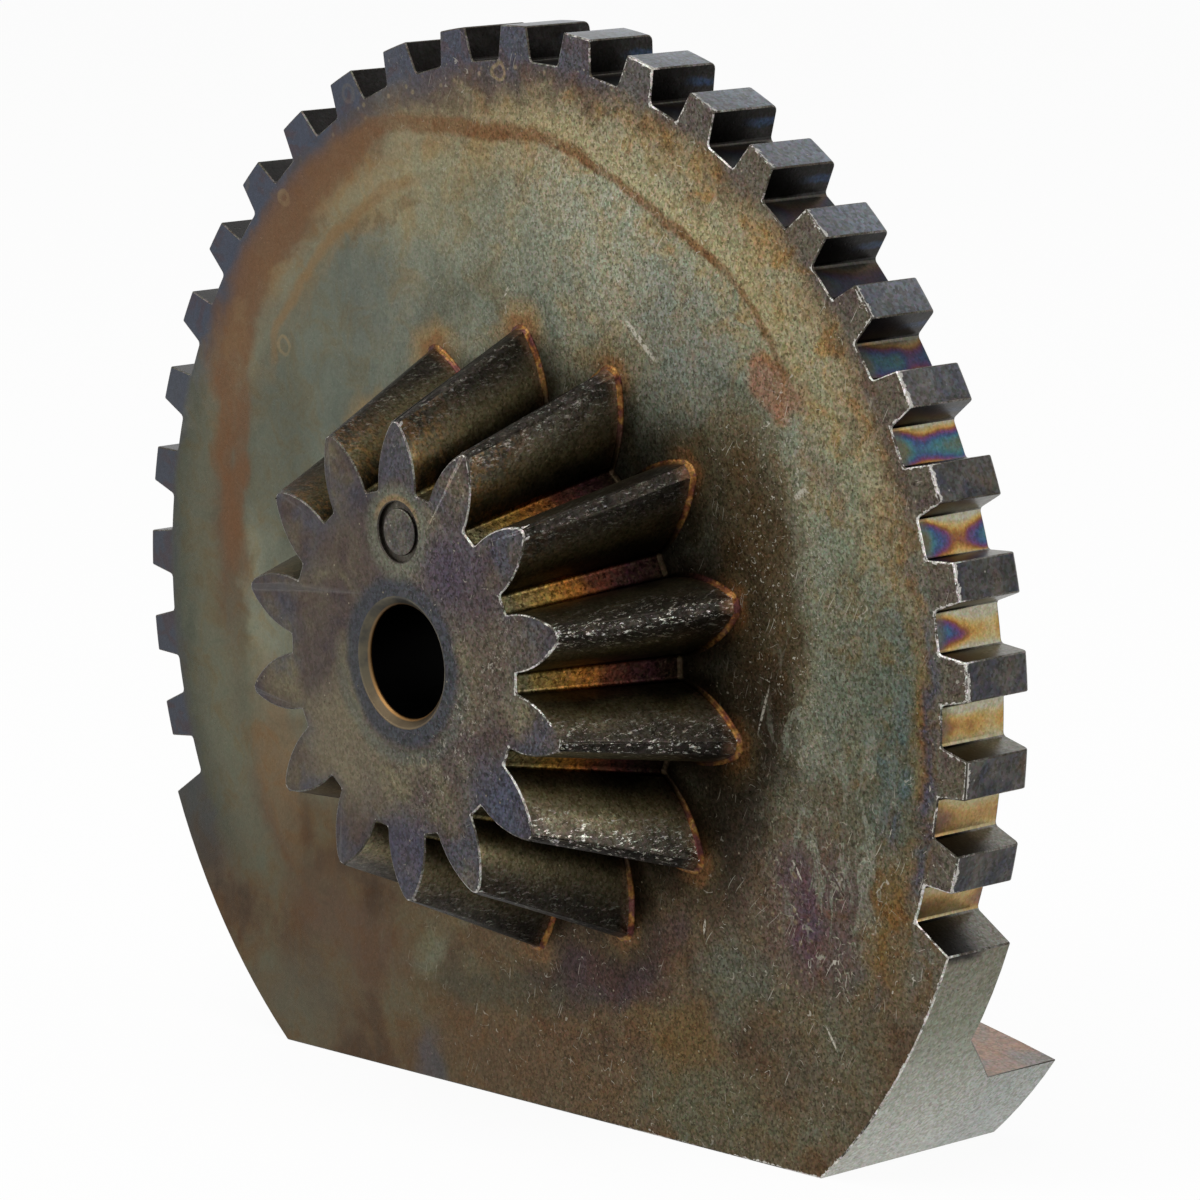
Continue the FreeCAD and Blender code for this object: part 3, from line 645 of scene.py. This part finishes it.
def toothFlank():
    f = Finish("toothFlank")
    along, share = pinionPlace(f)
    cloud = f.noise(4.5, 2, 0.5, 0.4) - 0.5
    f.colour = f.ramp(
        share + cloud * 0.14,
        (0.72, (0.016, 0.013, 0.008)),
        (0.79, (0.045, 0.038, 0.022)),
        (0.86, (0.088, 0.074, 0.040)),
        (0.92, (0.058, 0.049, 0.031)),
        (0.97, (0.024, 0.021, 0.016)),
    )
    # painted light: the flanks of the teeth on the right and at the lower left are made lighter,
    # standing in for the floor's light on them
    paintedLight = f.z.rise(12, -6) * f.z.rise(-18, -12) + f.x.rise(4, -10) * f.z.rise(-12, -20) * 1.8
    f.shade(paintedLight + 1)
    # rust in fine specks at the toe end of the upper teeth
    fine = f.noise(0.9, 4, 0.8, shift=5).spread(0.46, 0.60)
    upper = f.z.rise(2, 12) * f.x.rise(22, 6)
    f.lay(along.rise(0.45, 0.95) * fine * (0.08 + upper * 0.6), (0.17, 0.095, 0.035))
    f.lay(share.rise(0.90, 0.96) * fine * 0.6, (0.016, 0.013, 0.012))
    f.lay(along.rise(0.10, 0.02) * 0.5, tints["rust"])
    scraped = share.rise(0.84, 0.99) * crestScrapes(f) * (0.22 + knockedSide(f) * 0.68)
    f.lay(scraped, (0.46, 0.44, 0.38))
    grainy(f)
    f.lay(f.specks(0.9, 0.14, 0.2, 3) * 0.5, (0.22, 0.19, 0.13))
    return f.finish(f.rough + cloud * 0.2)


def toothCrest():
    f = Finish("toothCrest")
    along = pinionPlace(f)[0]
    cloud = f.noise(2.5, 3, 0.6)
    f.colour = f.ramp(
        cloud,
        (0.35, (0.010, 0.009, 0.007)),
        (0.52, (0.020, 0.017, 0.014)),
        (0.68, (0.034, 0.029, 0.022)),
    )
    f.lay(crestScrapes(f) * (0.22 + knockedSide(f) * 0.64), (0.48, 0.46, 0.40))
    f.lay(along.rise(0.12, 0.03) * 0.6, tints["rust"])
    grainy(f)
    return f.finish()


def rootStrip():
    f = Finish("rootStrip")
    along = pinionPlace(f)[0]
    cloud = f.noise(2.0, 3, 0.6)
    f.colour = f.ramp(
        along + (cloud - 0.5) * 0.3,
        (0.05, (0.006, 0.003, 0.002)),
        (0.24, (0.016, 0.006, 0.007)),
        (0.42, (0.056, 0.017, 0.009)),
        (0.60, (0.155, 0.060, 0.011)),
        (0.78, (0.140, 0.086, 0.021)),
        (0.95, (0.078, 0.068, 0.034)),
    )
    sooty = f.noise(0.7, 3, 0.75, shift=15).spread(0.46, 0.58)
    f.lay(sooty * 0.45, tints["umber"])
    grainy(f)
    return f.finish()


def heelFillet():
    f = Finish("heelFillet")
    cloud = f.noise(2.2, 3, 0.6).spread(0.35, 0.65)
    # painted shade: the fillet is umber down in the roots between the teeth, and takes its hot
    # colours only towards the crests
    crests = f.radius.rise(20.5, 24.5)
    hot = f.ramp(
        cloud,
        (0.15, (0.060, 0.021, 0.019)),
        (0.40, (0.105, 0.040, 0.014)),
        (0.62, (0.190, 0.098, 0.028)),
        (0.85, (0.080, 0.032, 0.026)),
    )
    f.colour = f.blend(crests, tints["umber"], hot)
    grainy(f)
    return f.finish()


def rimSide():
    f = Finish("rimSide")
    cloud = f.noise(9, 4, 0.6, 0.5)
    # painted shade and light: the side is near black at its top and grows lighter towards the
    # bottom
    f.colour = f.ramp(
        (cloud - 0.5) * 0.15 + f.z.rise(-17, -42),
        (0.01, (0.014, 0.011, 0.009)),
        (0.03, (0.155, 0.146, 0.108)),
        (0.30, (0.175, 0.180, 0.130)),
        (0.90, (0.350, 0.352, 0.305)),
    )
    f.lay(f.y.rise(8, 16) * 0.5, (0.240, 0.262, 0.250))
    grainy(f)
    f.lay(f.specks(0.7, 0.16, 0.4, 5) * 0.6, tints["umber"])
    f.lay(f.specks(1.2, 0.18, 0.2, 9) * 0.5, (0.42, 0.40, 0.35))
    return f.finish(f.rough + (cloud - 0.5) * 0.2)


def footTop():
    f = Finish("footTop")
    cloud = f.noise(6, 4, 0.6, 0.4).spread(0.3, 0.7)
    f.colour = f.ramp(
        cloud,
        (0.1, (0.085, 0.058, 0.042)),
        (0.4, (0.140, 0.112, 0.074)),
        (0.7, (0.150, 0.146, 0.104)),
        (0.9, (0.190, 0.140, 0.070)),
    )
    end = f.ramp(cloud, (0.2, (0.29, 0.185, 0.130)), (0.7, (0.205, 0.185, 0.165)))
    f.lay(f.x.rise(18, 34), end)
    grainy(f)
    return f.finish()


def backFace():
    f = Finish("backFace")
    cloud = f.noise(12, 5, 0.6, 0.7)
    patches = f.noise(2.8, 4, 0.6, 0.7, shift=13).spread(0.3, 0.7)
    f.colour = f.ramp(
        cloud + (patches - 0.5) * 0.08,
        (0.32, (0.086, 0.064, 0.044)),
        (0.42, (0.108, 0.096, 0.064)),
        (0.52, (0.138, 0.138, 0.102)),
        (0.60, (0.118, 0.130, 0.106)),
        (0.70, (0.180, 0.156, 0.098)),
    )
    ring = f.radius + (cloud - 0.5) * 8 + (patches - 0.5) * 2
    band = ring.rise(37, 40) * ring.rise(45, 41) * f.z.rise(-24, -14)
    f.lay(band * 0.6, f.ramp(patches, (0.3, tints["rust"]), (0.7, tints["tan"])))
    foot = f.y.rise(15, 16)
    smear = f.noise(5, 3, 0.6, shift=29, at=f.node("CombineXYZ", {}, {0: f.x / 4, 2: f.z}))
    f.lay(foot * smear.rise(0.45, 0.6) * 0.6, tints["brown"])
    edge = lockOutline(f)
    inland = edge + (patches - 0.5) * 2.4
    f.lay(inland.rise(5.5, 3.0) * inland.rise(1.2, 2.2) * 0.4, tints["tan"])
    f.lay(inland.rise(2.6, 0.8) * 0.7, tints["purple"])
    bore = f.radius + (cloud - 0.5) * 4
    f.lay(bore.rise(9.5, 6.5) * 0.7, tints["dusk"])
    f.lay(bore.rise(9, 10) * bore.rise(12.5, 11) * 0.4, tints["tan"])
    grainy(f)
    f.lay(f.specks(0.55, 0.17, 0.5, 11) * 0.6, tints["umber"])
    marks = f.squiggles(2.6, 0.008, 0.07, 71).orMore(f.dashes(1.6, 0.06, 25, 0.07))
    f.lay(marks * 0.6, (0.4, 0.38, 0.33))
    f.lay(f.specks(0.9, 0.17, 0.4, 3) * 0.5, (0.32, 0.30, 0.25))
    chipped(f, edge)
    return f.finish(f.rough + (cloud - 0.5) * 0.3)


def lockTip():
    f = Finish("lockTip")
    cloud = f.noise(3.5, 3, 0.6, 0.3)
    f.colour = f.ramp(
        cloud,
        (0.34, (0.044, 0.042, 0.040)),
        (0.5, (0.066, 0.062, 0.057)),
        (0.66, (0.092, 0.084, 0.072)),
    )
    tinted = f.noise(2.2, 2, shift=19)
    f.lay(tinted.spread(0.52, 0.62) * 0.5, (0.034, 0.038, 0.056))
    f.lay(tinted.spread(0.44, 0.36) * f.y.rise(3, 6) * 0.35, (0.12, 0.075, 0.038))
    # painted light: the tips nearer the top than the right are made pale blue-grey, more so towards
    # the back, standing in for the light from above on them
    f.lay(f.turn.rise(70, 40) * (0.45 + f.y.rise(0, 6) * 0.4), (0.155, 0.172, 0.195))
    grainy(f)
    f.lay(f.specks(0.9, 0.16, 0.15, 4) * 0.5, (0.4, 0.38, 0.33))
    ragged = f.noise(0.8, 4, 0.8, 0.3, shift=41).spread(0.42, 0.66) * f.x.rise(-5, 22)
    f.lay((f.y - ragged * 0.36).rise(0.2, 0.1) * 0.8, tints["bright"])
    return f.finish()


def lockFlank():
    f = Finish("lockFlank")
    back = f.y.rise(0.5, 6.5)
    cloud = f.noise(2.5, 3, 0.6) - 0.5
    # painted shade and light: the flanks are kept near black from the left over the top to the
    # upper right, and made lighter round the right and below
    wornAndLit = f.turn.rise(52, 78)
    f.colour = f.ramp(
        back * (0.15 + wornAndLit * 0.75) + cloud * 0.4,
        (0.0, (0.008, 0.007, 0.006)),
        (0.35, (0.034, 0.032, 0.030)),
        (0.85, (0.165, 0.158, 0.132)),
    )
    band = abs(f.radius - 50.6 + cloud * 1.2).rise(0.5, 0.1) * f.y.rise(3, 6) * (1 - wornAndLit)
    f.lay(band * 0.6, (0.025, 0.045, 0.085))
    grainy(f)
    return f.finish()


def gapFloor():
    f = Finish("gapFloor")
    # the oxide is thin along the tooth sides and thickens towards the middle and the two ends
    s = gearSizes
    turn = f.turn / s["lockPitch"] + 0.5
    halves = math.radians(s["lockPitch"]) * s["rootRadius"] / s["gapHalf"]
    aside = (turn - turn.maths("ROUND", turn)) * halves - 0.18
    deep = f.y / (s["plateBack"] / 2) - 1.15
    cloud = f.noise(5.5, 2, 0.5, shift=3) - 0.5
    fine = f.noise(0.7, 3, 0.8, shift=19) - 0.5
    oxide = 0.64 + deep * deep * 0.22 - aside * aside * 0.50 + cloud * 1.1 + fine * 0.14
    oxide = oxide - abs(f.turn).rise(66, 92) * 0.26
    f.colour = f.ramp(
        oxide,
        (0.12, (0.34, 0.32, 0.23)),
        (0.26, (0.38, 0.29, 0.13)),
        (0.38, (0.38, 0.225, 0.066)),
        (0.48, (0.21, 0.088, 0.034)),
        (0.58, (0.120, 0.044, 0.100)),
        (0.70, (0.046, 0.070, 0.150)),
        (0.80, (0.050, 0.130, 0.150)),
        (0.95, (0.100, 0.110, 0.062)),
    )
    front = f.y.rise(1.3, 0.4)
    f.lay(front * 0.7, (0.095, 0.088, 0.060))
    # dark at the top, tan and brown on the lower right
    around = abs(f.turn)
    f.lay(around.rise(66, 50) * 0.9, (0.016, 0.014, 0.016))
    fawn = f.ramp(
        oxide,
        (0.20, (0.34, 0.27, 0.14)),
        (0.40, (0.32, 0.21, 0.085)),
        (0.65, (0.16, 0.090, 0.045)),
    )
    f.lay(around.rise(88, 98) * 0.8, fawn)
    grainy(f)
    return f.finish()


def boreWall():
    f = Finish("boreWall")
    cloud = f.noise(2, 3, 0.6).spread(0.35, 0.65)
    chamfer = f.ramp(cloud, (0.2, (0.062, 0.058, 0.048)), (0.8, (0.100, 0.088, 0.062)))
    chamfer = f.blend(f.z.rise(-1, -4.5) * 0.6, chamfer, (0.115, 0.078, 0.040))
    # painted shade: the bore's wall past the chamfer is painted black
    boreShade = f.radius.rise(4.90, 4.82) * f.y.rise(-14.0, -13.4)
    f.colour = f.blend(boreShade, chamfer, tints["black"])
    thin = f.radius.rise(5.02, 4.94) * f.y.rise(-13.2, -13.5)
    f.lay(thin * (0.35 + f.z.rise(0, -4) * 0.5), (0.30, 0.16, 0.055))
    return f.finish()


def buttonMark():
    f = Finish("buttonMark")
    height = f.z - gearSizes["buttonHeight"]
    reach = length(f.x, height)
    cloud = f.noise(1.5, 3, 0.6)
    f.colour = f.ramp(cloud, (0.35, (0.060, 0.054, 0.050)), (0.65, (0.105, 0.094, 0.074)))
    grainy(f)
    f.lay(f.specks(0.5, 0.16, 0.3, 3) * 0.6, (0.35, 0.33, 0.28))
    # painted shade: the groove round the button is darkened
    f.lay(reach.rise(2.0, 2.15) * 0.6, (0.040, 0.034, 0.026))
    return f.finish()


def wornEdge():
    f = Finish("wornEdge")
    fine = f.noise(0.8, 4, 0.8, 0.4)
    rub = f.noise(6, 2, shift=27)
    bare = (fine * 0.6 + rub * 0.7).spread(0.62, 0.70)
    front = f.y.rise(1.5, 0.3)
    handled = 0.1 + f.x.rise(-6, 20) * 0.9
    bare = bare * (0.15 + front * 0.75) * handled
    f.colour = f.blend(bare, (0.055, 0.048, 0.038), tints["bright"])
    grainy(f)
    return f.finish()


regions = [
    plateFace, toeFace, toothFlank, toothCrest, rootStrip, heelFillet, rimSide, footTop,
    backFace, lockTip, lockFlank, gapFloor, boreWall, buttonMark, wornEdge,
]

# the gear's mesh: the solid's own surface with its edges broken
edgeSizes = {
    "crestRound": 0.34,        # along the pinion teeth's crests
    "footFillet": 0.34,        # round the pinion's foot on the plate
    "tipBackRound": 0.5,       # where a lock tooth's tip meets the back
    "roundSegments": 3,
    "brokenEdge": 0.12,
    "brokenSegments": 2,
    "sharpAngle": 24,
    "shadeAngle": 40,
    "weld": 0.002,             # points as near as this are one
    "flatAngle": 0.08,         # facets that turn by less than this are one face
    "footReach": 27.0,         # all of the pinion's foot lies inside this radius
    "longEdge": 2.0,           # only a tooth's own edges run this far along the axis
}
edgeKinds = {"foot": 1, "broken": 2, "crest": 3}
regionLimits = {
    "facing": 0.9,             # how far a normal lies along the axis on a flat front or back
    "crestOutward": 0.8,       # how far it points outwards on a pinion tooth's crest
    "floorOutward": 0.75,      # and on a gap's floor
    "crestShare": 0.95,        # the crests' least share of the tooth tips' radius
    "stripShare": 0.735,       # the root strips' greatest share of it
    "near": 0.3,
}


def regionOf(centre, normal):
    x, y, z = (value / mm for value in centre)
    s, limits = gearSizes, regionLimits
    radius = math.hypot(x, z)
    outward = (normal.x * x + normal.z * z) / radius if radius > 0.01 else 0.0
    inRing = math.hypot(x, z - s["buttonHeight"]) < s["ringRadius"] + 0.02
    if inRing and s["toeFace"] + 0.05 < y < s["toeFace"] + 0.5:
        return "buttonMark"
    if normal.y < -limits["facing"]:
        return "toeFace" if y < s["toeFace"] + limits["near"] else "plateFace"
    if radius < s["boreMouth"] + 0.05:
        return "boreWall"
    if y < -0.01:
        share = radius / (s["heelTip"] * (1 + y / s["coneApex"]))
        if outward > limits["crestOutward"] and share > limits["crestShare"]:
            return "toothCrest"
        return "rootStrip" if share < limits["stripShare"] else "toothFlank"
    if normal.y > limits["facing"]:
        return "backFace"
    if normal.z < -0.95 and z < s["flat"] + 0.1:
        return "rimSide"
    if y > s["plateBack"] and radius < s["rimRadius"] - limits["near"]:
        return "footTop"
    if radius > s["rimRadius"] - 0.35:
        return "rimSide"
    if outward > limits["facing"] and radius > s["tipRadius"] - limits["near"]:
        return "lockTip"
    return "gapFloor" if outward > limits["floorOutward"] else "lockFlank"


def brokenRegion(centre):
    # the bore's mouth and the button keep their own finish on their edges
    x, y, z = (value / mm for value in centre)
    s, near = gearSizes, regionLimits["near"]
    inRing = math.hypot(x, z - s["buttonHeight"]) < s["ringRadius"] + near
    if inRing and y < s["toeFace"] + 1.2:
        return "buttonMark"
    return "boreWall" if math.hypot(x, z) < s["boreMouth"] + near else "wornEdge"


def radiusOf(vert):
    return math.hypot(vert.co.x, vert.co.z) / mm


def isSharp(edge):
    least = math.radians(edgeSizes["sharpAngle"])
    return len(edge.link_faces) == 2 and edge.calc_face_angle(0) > least


def atFoot(edge):
    level = all(abs(vert.co.y) < edgeSizes["weld"] * mm for vert in edge.verts)
    return level and all(radiusOf(vert) < edgeSizes["footReach"] for vert in edge.verts)


def alongCrest(edge):
    s = gearSizes
    ends = sorted(vert.co.y / mm for vert in edge.verts)
    shrinks = [1 + vert.co.y / mm / s["coneApex"] for vert in edge.verts]
    shares = [radiusOf(vert) / shrink / s["heelTip"] for vert, shrink in zip(edge.verts, shrinks)]
    long = ends[1] - ends[0] > edgeSizes["longEdge"]
    return long and ends[1] < 0.01 and min(shares) > 0.98


def atTipBack(edge):
    s = gearSizes
    level = all(abs(vert.co.y / mm - s["plateBack"]) < 0.01 for vert in edge.verts)
    return level and all(abs(radiusOf(vert) - s["tipRadius"]) < 0.05 for vert in edge.verts)


def bevelled(shape, fits, size, segments):
    # the new faces along the sharp edges that fit
    edges = [edge for edge in shape.edges if isSharp(edge) and fits(edge)]
    made = bmesh.ops.bevel(
        shape, geom=edges, offset=edgeSizes[size] * mm, offset_type="OFFSET", affect="EDGES",
        segments=edgeSizes[segments], profile=0.5, material=-1, loop_slide=False,
        clamp_overlap=False,
    )
    return made["faces"]


def breakEdges(shape):
    kind = shape.faces.layers.int.new("edgeKind")

    def mark(faces, name):
        for face in faces:
            face[kind] = edgeKinds[name]

    def beside(edge, name):
        return any(face[kind] == edgeKinds[name] for face in edge.link_faces)

    def leftConvex(edge):
        reach = abs(edge.verts[0].co.y - edge.verts[1].co.y)
        alongRound = reach > edgeSizes["longEdge"] * mm and beside(edge, "crest")
        return edge.is_convex and not alongRound and not beside(edge, "foot")

    mark(bevelled(shape, alongCrest, "crestRound", "roundSegments"), "crest")
    bevelled(shape, atTipBack, "tipBackRound", "roundSegments")
    shape.normal_update()
    mark(bevelled(shape, atFoot, "footFillet", "roundSegments"), "foot")
    # a few of its corners run out too far, and are drawn back to its own edge
    rimmed = gearSizes["heelTip"] + edgeSizes["footFillet"]
    for vert in shape.verts:
        far = radiusOf(vert)
        if abs(vert.co.y) < 0.01 * mm and rimmed < far < rimmed + 1:
            vert.co.x *= rimmed / far
            vert.co.z *= rimmed / far
    mark(bevelled(shape, leftConvex, "brokenEdge", "brokenSegments"), "broken")
    shape.normal_update()
    return kind


def makeGear():
    shape = bmesh.new()
    shape.from_mesh(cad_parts["lock_gear"].data)
    bmesh.ops.remove_doubles(shape, verts=shape.verts, dist=edgeSizes["weld"] * mm)
    bmesh.ops.dissolve_limit(
        shape, angle_limit=math.radians(edgeSizes["flatAngle"]), verts=shape.verts,
        edges=shape.edges, use_dissolve_boundaries=False,
    )
    shape.normal_update()
    print("gear copied:", len(shape.faces), "faces")
    kind = breakEdges(shape)
    names = [region.__name__ for region in regions]
    for face in shape.faces:
        centre = face.calc_center_median()
        if face[kind] == edgeKinds["foot"]:
            name = "heelFillet"
        elif face[kind] == edgeKinds["broken"]:
            name = brokenRegion(centre)
        else:
            name = regionOf(centre, face.normal)
        face.material_index = names.index(name)
        face.smooth = True
    mesh = bpy.data.meshes.new("lockGear")
    shape.to_mesh(mesh)
    shape.free()
    gear = bpy.data.objects.new("lockGear", mesh)
    bpy.context.scene.collection.objects.link(gear)
    for region in regions:
        mesh.materials.append(region())
    mesh.set_sharp_from_angle(angle=math.radians(edgeSizes["shadeAngle"]))
    weighted = gear.modifiers.new("evenShading", "WEIGHTED_NORMAL")
    weighted.keep_sharp = True
    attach(gear, "root")
    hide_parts("lock_gear")
    print("gear made:", len(mesh.polygons), "faces")


makeGear()

# floor, light and camera
studio = {
    "white": (1, 1, 1, 1),
    "floorReach": 3.0,
    "floorColour": (0.86, 0.86, 0.85, 1),
    "floorGlow": 0.94,         # how much of the floor is plain white to the camera
    "skyLight": 0.50,
}


def makeFloor():
    shape = bmesh.new()
    bmesh.ops.create_grid(shape, x_segments=1, y_segments=1, size=studio["floorReach"])
    bmesh.ops.translate(shape, verts=shape.verts, vec=(0, 0, cadBox[0].z))
    mesh = bpy.data.meshes.new("floor")
    shape.to_mesh(mesh)
    shape.free()
    floor = bpy.data.objects.new("floor", mesh)
    bpy.context.scene.collection.objects.link(floor)
    paper = bpy.data.materials.new("paper")
    paper.use_nodes = True
    board = Board(paper.node_tree)
    plain = board.node("BsdfDiffuse", {}, {"Color": studio["floorColour"]})
    glow = board.node("Emission", {}, {"Color": studio["white"], "Strength": 1})
    white = board.whiteSeen() * studio["floorGlow"]
    mixed = board.node("MixShader", {}, {0: white, 1: plain, 2: glow})
    board.node("OutputMaterial", {}, {"Surface": mixed})
    mesh.materials.append(paper)


def makeWorld():
    world = bpy.data.worlds.new("studio")
    bpy.context.scene.world = world
    world.use_nodes = True
    board = Board(world.node_tree)
    light = {"Color": studio["white"], "Strength": studio["skyLight"]}
    sky = board.node("Background", {}, light)
    white = board.node("Background", {}, {"Color": studio["white"], "Strength": 1})
    mixed = board.node("MixShader", {}, {0: board.whiteSeen(), 1: sky, 2: white})
    board.node("OutputWorld", {}, {"Surface": mixed})


lamps = {
    # name: (place, aimed at, side, watts)
    "overhead": ((0.10, -0.25, 0.85), (0, 0, 0), 0.7, 3.6),
    "frontLeft": ((-0.45, -0.80, 0.35), (0, 0, 0), 0.5, 2.7),
    "right": ((0.95, 0.05, 0.25), (0, 0, 0), 0.5, 2.5),
}


def aimed(place, target, roll=0.0):
    back = (Vector(place) - Vector(target)).normalized()
    turn = back.to_track_quat("Z", "Y").to_matrix().to_4x4()
    return Matrix.Translation(place) @ turn @ Matrix.Rotation(roll, 4, "Z")


def makeLamps():
    for name, (place, target, side, watts) in lamps.items():
        data = bpy.data.lights.new(name, "AREA")
        data.shape = "SQUARE"
        data.size = side
        data.energy = watts
        lamp = bpy.data.objects.new(name, data)
        bpy.context.scene.collection.objects.link(lamp)
        lamp.matrix_world = aimed(place, target)


cameraView = {
    "place": (0.366993, -0.319552, 0.085800),
    "aim": (0.003668, 0.004928, 0.003228),
    "roll": -1.339,
    "lens": 174.96,
    "sensor": 36,
    "clipStart": 0.01,
}


def makeCamera():
    view = cameraView
    data = bpy.data.cameras.new("camera")
    data.lens = view["lens"]
    data.sensor_width = view["sensor"]
    data.clip_start = view["clipStart"]
    camera = bpy.data.objects.new("camera", data)
    bpy.context.scene.collection.objects.link(camera)
    camera.matrix_world = aimed(view["place"], view["aim"], math.radians(view["roll"]))
    bpy.context.scene.camera = camera


makeFloor()
makeWorld()
makeLamps()
makeCamera()
bpy.context.scene.view_settings.view_transform = "Standard"
print("studio made")
